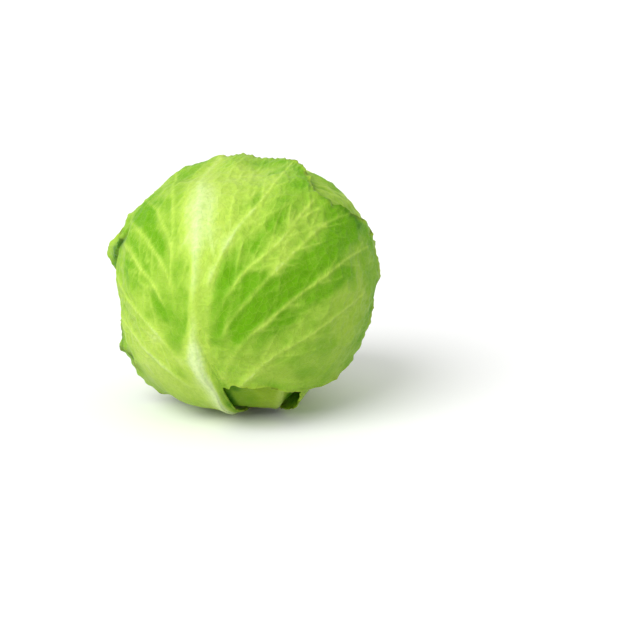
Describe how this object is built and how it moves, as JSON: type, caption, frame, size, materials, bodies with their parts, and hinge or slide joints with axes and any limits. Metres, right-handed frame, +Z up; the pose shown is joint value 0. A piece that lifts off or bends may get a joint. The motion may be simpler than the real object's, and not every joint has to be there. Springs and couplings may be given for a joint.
{
  "type": "crisphead lettuce",
  "caption": "Whole head of green crisphead lettuce on its cut stem, with large ribbed wrapper leaves folded round a tight round heart.",
  "frame": {"origin": "middle of the flat cut face of the stem, on the surface that the head stands on", "axes": "+Z up the stem and through the crown, -Y towards the front, which the outermost leaf covers, +X to the right seen from the front"},
  "size_m": [0.1724, 0.1711, 0.1595],
  "materials": {
    "stem": "matte, pale cut stem",
    "heart": "smooth, pale yellow-green folded leaves",
    "under_leaf": "waxy green leaf, in the shade of the leaf over it",
    "wrapper_leaf": "waxy bright green leaf with pale ribs"
  },
  "bodies": {
    "root": {"stem": "stem", "heart": "heart", "wrapper_leaf_1": "under_leaf", "wrapper_leaf_2": "under_leaf", "wrapper_leaf_3": "under_leaf", "wrapper_leaf_4": "wrapper_leaf", "wrapper_leaf_5": "wrapper_leaf", "wrapper_leaf_6": "wrapper_leaf"}
  },
  "joints": []
}
